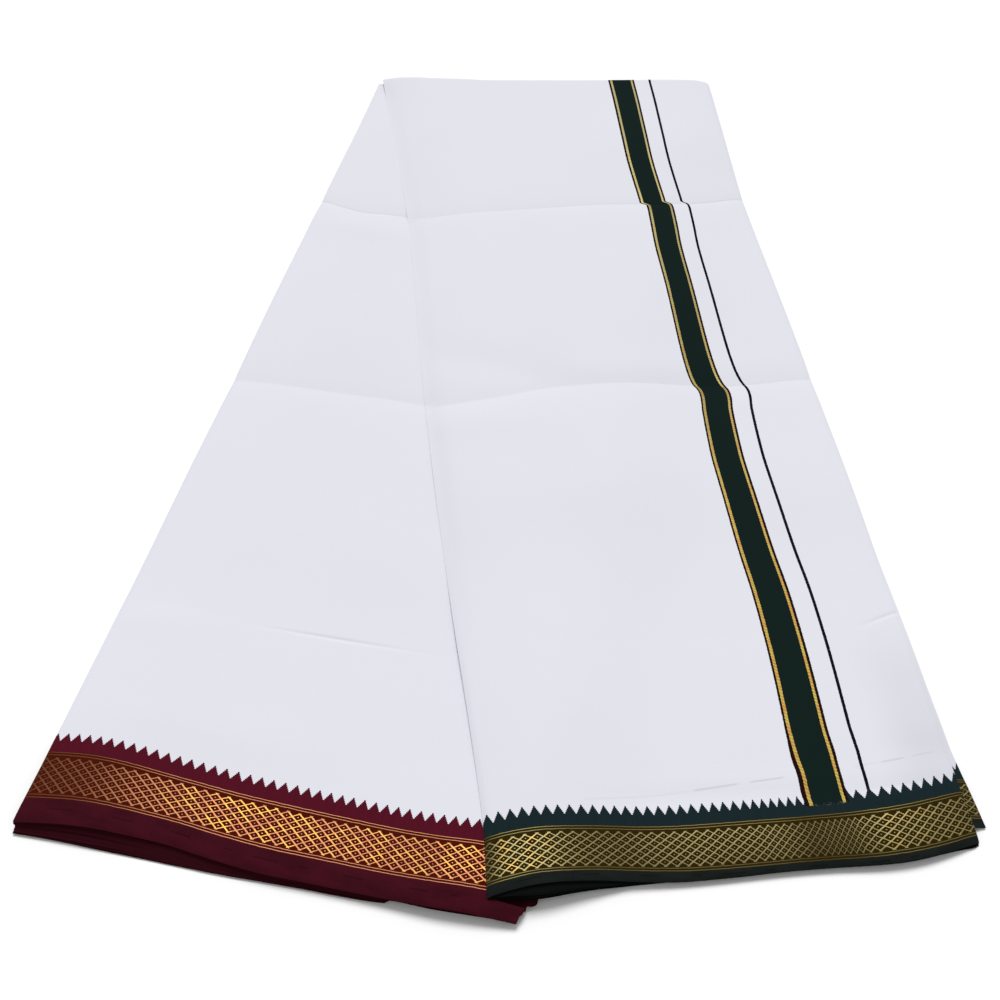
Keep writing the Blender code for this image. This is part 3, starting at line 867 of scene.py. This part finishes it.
class EndStripe:
    """The end stripe's warp, from its outer edge inwards, and the thin line outside it."""

    def __init__(self, tree, border, u, v):
        self.tree, self.border, self.u, self.v = tree, border, u, v
        self.wide = STRIPE_WIDTH * MM
        self.from_edge = u * -1.0 + STRIPE_AT * MM
        self.strand = noise(tree, stretched(tree, u, v, 0.8, 0.9), 1.1)
        self.edged = self.from_edge + (self.strand - 0.5) * 0.5
        self.inside = self.edged.within(0.0, self.wide) * v.above(border.base - 0.3)
        (foot_low, foot_high, foot_by), (far_low, far_high, far_by) = LEFT_SPREADS
        left_dark = v.ramp(foot_low, foot_high) * foot_by + v.ramp(far_low, far_high) * far_by + LEFT_DARK
        into = self.edged * -1.0 + self.wide - left_dark
        self.dark = self.edged.within(0.0, RIGHT_DARK).most(into.below(0.0)) * self.inside
        right_gilt = self.edged.within(RIGHT_DARK, RIGHT_DARK + RIGHT_GOLD)
        self.gilt = right_gilt.most(into.within(0.0, LEFT_GOLD)) * self.inside
        self.twist = ((u + v * TWIST_LEAN) / TWIST_PITCH).from_whole().ramp(0.05, 0.40)
        self.line_at = self.edged + THIN_LINE * MM

    def closed_up(self, along, wandered):
        """The lattice is woven closer and closer towards the stripe, then opens again past it."""
        from_first = wandered - ((STRIPE_AT - STRIPE_WIDTH) * MM - CLOSER_BEFORE)
        closer = (from_first / CLOSER_SPAN).curve(*CLOSER_ROWS)
        return along + closer * (CLOSER_GAIN + self.border.pitch)

    def flared(self, dyed):
        """The border's dye rises beside the stripe and where the thin line meets it."""
        rise = self.v - self.border.base
        flare = (self.from_edge + FLARE_REACH).most(0.0).math("POWER", 2.0) * FLARE_RISE
        point = self.line_at.math("ABSOLUTE") * -POINT_SLOPE + POINT_RISE
        return dyed.most(rise.below(flare * self.from_edge.below(0.3))).most(rise.below(point))

    def beside(self, color):
        """The field near the stripe: painted shade darkening towards the right foot and in broken lines along small
        creases, and the thin line.
        """
        tree, u, v = self.tree, self.u, self.v
        # Painted shade: beyond the thin line the field is painted darker towards the right foot.
        color = mixed(tree, self.line_at.ramp(-4.0, -34.0) * v.ramp(150.0, 50.0) * 0.10, color, BLACK)
        # Painted shade along small creases above the border.
        for start, end, at, slope, strength in CREASE_SHADES:
            ends = u.ramp(start, start + MARK_FADE_IN) * u.ramp(end, end - MARK_FADE_OUT)
            color = mixed(tree, ends * (v - u * slope).near(at, MARK_HALF) * strength, color, BLACK)
        return mixed(tree, self.line_at.near(0.0, THIN_LINE_HALF) * v.above(self.border.base), color, LINE_DARK)

    def over(self, color):
        """The stripe itself over the cloth's colour."""
        tree, v, base = self.tree, self.v, self.border.base
        color = mixed(tree, self.inside, color, STRIPE_GREEN)
        color = mixed(tree, self.dark, color, STRIPE_DARK)
        tint = noise(tree, stretched(tree, self.u, v, 0.2, 1.0), 0.16, 3.0).ramp(0.38, 0.62)
        gilt = mixed(tree, tint, STRIPE_ORANGE, STRIPE_GOLD)
        gilt = mixed(tree, v.ramp(120.0, 600.0) * 0.70, gilt, STRIPE_PALE)
        gilt = mixed(tree, self.twist * 0.45 + 0.55, STRIPE_GAP, gilt)
        threads = self.strand.above(0.55) * self.edged.within(0.5, self.wide - 3.0)
        threads = threads * v.within(base - 0.9, base + 0.5)
        color = mixed(tree, threads * 0.5, color, THREAD_GREY)
        return mixed(tree, self.gilt, color, gilt)


def cloth_material(name, border, striped=False):
    """A half's outermost layer: cotton field, temple-spike border with its zari, and the end stripe."""
    material, tree, shader = new_material(name)
    uv = tree.nodes.new("ShaderNodeUVMap")
    uv.uv_map = "cloth"
    split = tree.nodes.new("ShaderNodeSeparateXYZ")
    tree.links.new(uv.outputs["UV"], split.inputs[0])
    u = Wire(tree, split.outputs["X"]) * MM
    v = Wire(tree, split.outputs["Y"]) * MM

    # Threads wander a little, more along the warp than across it.
    slub = noise(tree, stretched(tree, u, v, 1.0, 0.06), 1.6)
    weft_slub = noise(tree, stretched(tree, u, v, 0.05, 1.0), 1.5)
    cloud = noise(tree, stretched(tree, u, v), 0.022, 3.0)
    wander_u = (noise(tree, stretched(tree, u, v), 0.35) - 0.5) * 0.55
    wander_v = (noise(tree, stretched(tree, v, u), 0.30) - 0.5) * 0.45
    drift = ((place, 0.5 + by / DRIFT_SPAN) for place, by in border.drift)
    even_u = u - ((u / (HALF_WIDTH * MM)).curve(*drift) - 0.5) * DRIFT_SPAN
    along, height = even_u + wander_u, v + wander_v

    stripe = EndStripe(tree, border, u, v) if striped else None
    if stripe:
        along = stripe.closed_up(along, u + wander_u)
    lines, dots, bars = zari_pattern(border, along, height)
    band = height.within(border.lower_lines[1] - 0.5, border.upper_lines[0] + 0.5)
    dyed = temple_spikes(border, even_u, v)
    gold = lines.most(dots).most(bars)
    relief = lines * 0.5 + bars * 0.35 + dots * 0.3

    color = mixed(tree, cloud, shaded(COTTON, 0.985), COTTON)
    color = mixed(tree, (slub * weft_slub).ramp(0.30, 0.42) * 0.06, color, shaded(COTTON, 0.80))
    if stripe:
        dyed = stripe.flared(dyed)
        color = stripe.beside(color)
    color = mixed(tree, dyed, color, dye_color(tree, border, u, v, slub))
    color = mixed(tree, band, color, border.weft)
    if stripe:
        color = stripe.over(color)
        relief = relief + stripe.gilt * 0.6 * (stripe.twist * 0.5 + 0.5)
        gold = gold.most(stripe.gilt)
    zari, bar = zari_colors(tree, border, u, v)
    color = mixed(tree, lines.most(dots), color, zari)
    color = mixed(tree, bars * 0.85, color, bar)
    tree.links.new(color, shader.inputs["Base Color"])
    tree.links.new((gold * 0.55).socket, shader.inputs["Metallic"])
    tree.links.new((gold * -0.45 + 0.90).socket, shader.inputs["Roughness"])
    shader.inputs["Specular IOR Level"].default_value = 0.06

    # The weave itself: warp and weft crowns, with slubs, and the zari standing proud.
    crowns = ((u / THREAD_PITCH).from_whole() + (v / THREAD_PITCH).from_whole()) * 0.35
    weave = crowns + slub * 0.5 + weft_slub * 0.4 + relief * 1.4
    bump = tree.nodes.new("ShaderNodeBump")
    bump.inputs["Strength"].default_value = BUMP_STRENGTH
    bump.inputs["Distance"].default_value = BUMP_HEIGHT
    tree.links.new(weave.socket, bump.inputs["Height"])
    tree.links.new(bump.outputs["Normal"], shader.inputs["Normal"])
    return material


def floor_material():
    material, tree, shader = new_material("floor")
    spot = tree.nodes.new("ShaderNodeNewGeometry")
    share = noise(tree, spot.outputs["Position"], 1.5)
    tree.links.new(mixed(tree, share, (0.985, 0.985, 0.988), (0.992, 0.992, 0.992)), shader.inputs["Base Color"])
    shader.inputs["Roughness"].default_value = 0.95
    shader.inputs["Specular IOR Level"].default_value = 0.1
    return material


lower_cloth = cloth_material("lower_cloth", MAROON_BORDER)
upper_cloth = cloth_material("upper_cloth", GREEN_BORDER, striped=True)

# Rows of the fields, down to their borders, and of the borders.
BORDER_ROWS = 44
LOWER_SEAM = 1.0 - LOWER_BORDER / HALF_HEIGHT
UPPER_SEAM = 1.0 - UPPER_BORDER / HALF_HEIGHT
lower_rows = crease_rows(LOWER_CREASES, 0.0, LOWER_SEAM)
lower_hem = np.linspace(LOWER_SEAM, 1.0, BORDER_ROWS)
upper_rows = crease_rows(UPPER_CREASES, 0.0, UPPER_SEAM)
upper_hem = np.linspace(UPPER_SEAM, 1.0, BORDER_ROWS)


def stripe_outer(down):
    return 1.0 - read_table(STRIPE_PLACE, down, 1) / HALF_WIDTH


def stripe_inner(down):
    return stripe_outer(down) - read_table(STRIPE_PLACE, down, 2) / HALF_WIDTH


def stair(down):
    """The lower half's right end, as a share across."""
    return 1.0 + read_table(LOWER_STAIR, (1.0 - down) * HALF_HEIGHT, 1) / HALF_WIDTH


def lower_limit(down):
    """Where the lower half's outermost layer ends: at the upper half, or short of the stair."""
    inset = read_table(LOWER_STAIR, (1.0 - down) * HALF_HEIGHT, 1)
    return np.minimum(meets_upper(down), 1.0 + np.minimum(inset, -STAIR_TUCK) / HALF_WIDTH)


# The stacks of hidden layers: levels from the surface up, a rounded ridge for each layer at the hem and for
# each fold at the sides, and how far these are tucked in under the outermost layer.
LAYER_RIDGES = 15
FOLD_RIDGES = 8
LEVELS = 46
HEM_GROOVE = 0.00022
FOLD_GROOVE = 0.00050
HEM_WANDER = 0.00035
SIDE_WANDER = 0.00045
WAVES = 6
TUCK = 0.0004
CORNER_TUCK, CORNER_FROM, CORNER_SPAN = 0.0008, 0.95, 0.04
OUTER_TUCK = 0.0004
CAP_SINK, CAP_FROM, CAP_SPAN = 0.0016, 0.0010, 0.004
TOP_GAP, LEAST_HEIGHT = 0.00008, 0.00010
# Only the part near the hem stretches to the layers' own reach.
STRETCH_FROM, STRETCH_SPAN = 0.90, 0.10
# The layers' own hems are selvedge, painted darker there as shade: how far their place on the cloth is moved past
# the hem, also on the stair.
OWN_HEM, OWN_HEM_TOP = 0.012, 0.016
STAIR_WIDTH, STAIR_HEIGHT = 0.020, 0.030
STACK_COLUMNS = 120
STACK_DOWNS = np.concatenate([
    np.linspace(0.0, 0.90, 46)[:-1], np.linspace(0.90, 0.976, 16)[:-1], np.linspace(0.976, 1.0, 32),
])

rng = np.random.default_rng(7)


def wander(count, size):
    """Smooth curves that wander by about size, each a function of a share from 0 to 1."""
    weights = rng.normal(0.0, size, (count, WAVES)) / np.sqrt(np.arange(1, WAVES + 1))
    phases = rng.uniform(0.0, 2 * math.pi, (count, WAVES))

    def at(number, share):
        share = np.asarray(share)[..., None]
        turns = math.pi * np.arange(1, WAVES + 1)
        return (weights[number] * np.sin(turns * share + phases[number])).sum(axis=-1)

    return at


def groove(level, count, depth):
    """Which of the rounded ridges a level is on, and how far it is set back there."""
    ridge = min(int(level * count), count - 1)
    turn = 2.0 * (level * count - ridge) - 1.0
    return ridge, depth * (1.0 - math.sqrt(max(0.0, 1.0 - turn * turn)))


def stack(name, face, place, ground, under, pack_share, slope, right_end, stepped, material):
    """The hidden layers of a half as one block, ridged at its folds and layered at its hem.

    Up to pack_share of its height, with a change over slope, the layers reach as far as under says.
    """
    downs, acrosses = STACK_DOWNS, np.linspace(0.0, 1.0, STACK_COLUMNS)
    rows, cols = len(STACK_DOWNS), STACK_COLUMNS
    hem_wander = wander(LAYER_RIDGES, HEM_WANDER)
    side_wander = wander(2 * FOLD_RIDGES, SIDE_WANDER)
    ring = ring_of(rows, cols)
    row_of, col_of = ring // cols, ring % cols
    verts, uvs = [], []

    def limits(level):
        """Where this level ends: left and right shares across for every row, and the hem's share down."""
        fold, fold_dent = groove(level, FOLD_RIDGES, FOLD_GROOVE)
        layer, layer_dent = groove(level, LAYER_RIDGES, HEM_GROOVE)
        in_pack = 1.0 - smooth_step((level - pack_share + slope / 2) / slope)
        corner = CORNER_TUCK * in_pack * smooth_step((downs - CORNER_FROM) / CORNER_SPAN)
        left = (-side_wander(2 * fold, downs) * 0.5 + fold_dent + TUCK + corner) / HALF_WIDTH
        right = right_end(downs) + (side_wander(2 * fold + 1, downs) * 0.5 - fold_dent - TUCK) / HALF_WIDTH
        reach = in_pack * read_table(under, acrosses, 1) + (1.0 - in_pack) * -OUTER_TUCK
        hem = 1.0 + (reach + hem_wander(layer, acrosses) - layer_dent) / HALF_HEIGHT
        return left, right, hem

    def flat_place(level):
        left, right, hem = limits(level)
        column, row = acrosses[None, :], downs[:, None]
        across = left[:, None] * (1 - column) + right[:, None] * column
        down = row + (hem[None, :] - 1.0) * smooth_step((row - STRETCH_FROM) / STRETCH_SPAN)
        return across, down

    def add(across, down, height, sink=0.0, own_hem=0.0):
        """Adds points at a share of the height, with their places on the cloth."""
        x, y = place(across, down)
        top = face(np.clip(across, 0.0, 1.0), np.clip(down, 0.0, 1.0))[..., 2] - SHELL - TOP_GAP
        floor = np.minimum(ground(x, y), top - LEAST_HEIGHT)
        verts.append(points(x, y, np.maximum(floor + (top - floor) * height - sink, 0.0)).reshape(-1, 3))
        uv = leaf_uv(across, down)
        uv[..., 1] -= own_hem
        uvs.append(uv.reshape(-1, 2))

    across, down = flat_place(0.0)
    add(across, down, 0.0)
    at_hem = row_of == rows - 1
    if stepped:
        at_hem |= (col_of == cols - 1) & (downs[row_of] > CORNER_FROM)
    for level in np.linspace(0.0, 1.0, LEVELS)[1:-1]:
        across, down = flat_place(level)
        add(across[row_of, col_of], down[row_of, col_of], level, 0.0, np.where(at_hem, OWN_HEM, 0.0))
    across, down = flat_place(1.0)
    from_right, from_hem = (1.0 - across) * HALF_WIDTH, (1.0 - down) * HALF_HEIGHT
    inner = np.minimum(np.minimum(across, 1.0 - across) * HALF_WIDTH, from_hem)
    at_end = stepped & (from_right < STAIR_WIDTH) & (from_hem < STAIR_HEIGHT)
    sink = CAP_SINK * smooth_step((inner - CAP_FROM) / CAP_SPAN)
    add(across, down, 1.0, sink, np.where(at_end, OWN_HEM_TOP, 0.0))

    count = rows * cols
    last = count + (LEVELS - 2) * len(ring)
    between = (count + number * len(ring) + np.arange(len(ring)) for number in range(LEVELS - 2))
    rings = [ring, *between, last + ring]
    faces = [grid_faces(rows, cols, 0, True), grid_faces(rows, cols, last)]
    for lower, upper in zip(rings, rings[1:]):
        faces.append(np.stack([lower, np.roll(lower, -1), np.roll(upper, -1), upper], axis=-1))
    return new_object(name, np.concatenate(verts), np.concatenate(faces), np.concatenate(uvs), material)


def second_face(across, down):
    """The layer under the upper half's outermost one; across 1 is its own cut end, down 1 its own hem."""
    share = across + read_table(SECOND_REACH, (1.0 - down) * HALF_HEIGHT, 1) / HALF_WIDTH
    raised = down - SECOND_RISE / HALF_HEIGHT
    x, y = upper_place(share, raised)
    z = upper_face(np.minimum(share, 1.0), raised)[..., 2]
    past = np.maximum(share - 1.0, 0.0) * HALF_WIDTH
    return points(x, y, np.maximum(z - SHELL - SECOND_GAP - SECOND_SLOPE * past, SECOND_LOWEST))


# The turn over the far fold, and the steps of its grid round it and across it.
FOLD_TURN = 0.83 * math.pi
FOLD_STEPS, FOLD_COLUMNS = 28, 120


def top_fold(material):
    """The outermost layer round the far fold, from the upper face down to the surface."""
    across = np.linspace(1.0, 0.0, FOLD_COLUMNS)[None, :]
    turn = np.linspace(0.0, FOLD_TURN, FOLD_STEPS)[:, None]
    radius = upper_face(across, 0.0 * across)[..., 2] / 2
    x, y = upper_place(across, 0.0 * across)
    grid = points(x + 0 * turn, y + radius * np.sin(turn), radius + radius * np.cos(turn))
    u = upper_uv(across, 0.0 * across)[..., 0] + 0 * turn
    v = HALF_HEIGHT + turn * radius
    return shell("top_fold_cloth", grid, np.stack([u, v], axis=-1), material)


lower_field = leaf(
    "lower_field_cloth", lower_face, leaf_uv, LOWER_CREASES, lower_rows, np.zeros_like, lower_limit,
    columns=100, material=lower_cloth,
)
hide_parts("lower_field")
lower_border = leaf(
    "lower_border_cloth", lower_face, leaf_uv, (), lower_hem, np.zeros_like, lower_limit,
    columns=120, material=lower_cloth,
)
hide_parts("lower_border")
upper_field = leaf(
    "upper_field_cloth", upper_face, upper_uv, UPPER_CREASES, upper_rows, np.zeros_like, stripe_inner,
    columns=90, material=upper_cloth,
)
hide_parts("upper_field")
end_stripe = leaf(
    "end_stripe_cloth", upper_face, upper_uv, UPPER_CREASES, upper_rows, stripe_inner, stripe_outer,
    columns=12, material=upper_cloth,
)
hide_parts("end_stripe")
end_field = leaf(
    "end_field_cloth", upper_face, upper_uv, UPPER_CREASES, upper_rows, stripe_outer, np.ones_like,
    columns=40, material=upper_cloth,
)
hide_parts("end_field")
upper_border = leaf(
    "upper_border_cloth", upper_face, upper_uv, (), upper_hem, np.zeros_like, np.ones_like,
    columns=140, material=upper_cloth,
)
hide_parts("upper_border")
top = top_fold(upper_cloth)
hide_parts("top_fold")
lower_layers = stack(
    "lower_layers", lower_face, lower_place, ground=lambda x, y: 0 * x, under=LOWER_UNDER,
    pack_share=0.52, slope=0.80, right_end=stair, stepped=True, material=lower_cloth,
)
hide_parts("folded_layers")
upper_layers = stack(
    "upper_layers", upper_face, upper_place, ground=ground_under_upper, under=UPPER_UNDER,
    pack_share=0.80, slope=0.10, right_end=np.ones_like, stepped=False, material=upper_cloth,
)
second = leaf(
    "second_layer_cloth", second_face, leaf_uv, (), np.linspace(1.0 - SECOND_HEIGHT / HALF_HEIGHT, 1.0, SECOND_ROWS),
    lambda down: np.ones_like(down) - SECOND_WIDTH / HALF_WIDTH, np.ones_like, columns=16, material=upper_cloth,
)

bpy.ops.mesh.primitive_plane_add(size=FLOOR_SIZE, location=(0, 0, -FLOOR_DROP))
floor = bpy.context.object
floor.name = "floor"
floor.data.materials.append(floor_material())

world = bpy.data.worlds.new("studio")
bpy.context.scene.world = world
world.use_nodes = True
background = world.node_tree.nodes["Background"]
background.inputs["Color"].default_value = (1, 1, 1, 1)
background.inputs["Strength"].default_value = SKY_STRENGTH

light = bpy.data.lights.new("key", "SUN")
light.energy = SUN_ENERGY
light.angle = math.radians(SUN_ANGLE)
lamp = bpy.data.objects.new("key", light)
lamp.location = SUN_FROM
lamp.rotation_euler = (-lamp.location).to_track_quat("-Z", "Y").to_euler()
bpy.context.scene.collection.objects.link(lamp)

data = bpy.data.cameras.new("camera")
data.lens = CAMERA_LENS
data.sensor_width = SENSOR
camera = bpy.data.objects.new("camera", data)
camera.location = (ORIGIN[0], ORIGIN[1] - CAMERA_BACK, CAMERA_HEIGHT)
camera.rotation_euler = (math.radians(90.0 - CAMERA_PITCH), 0.0, 0.0)
bpy.context.scene.collection.objects.link(camera)
bpy.context.scene.camera = camera
bpy.context.scene.view_settings.view_transform = "Standard"
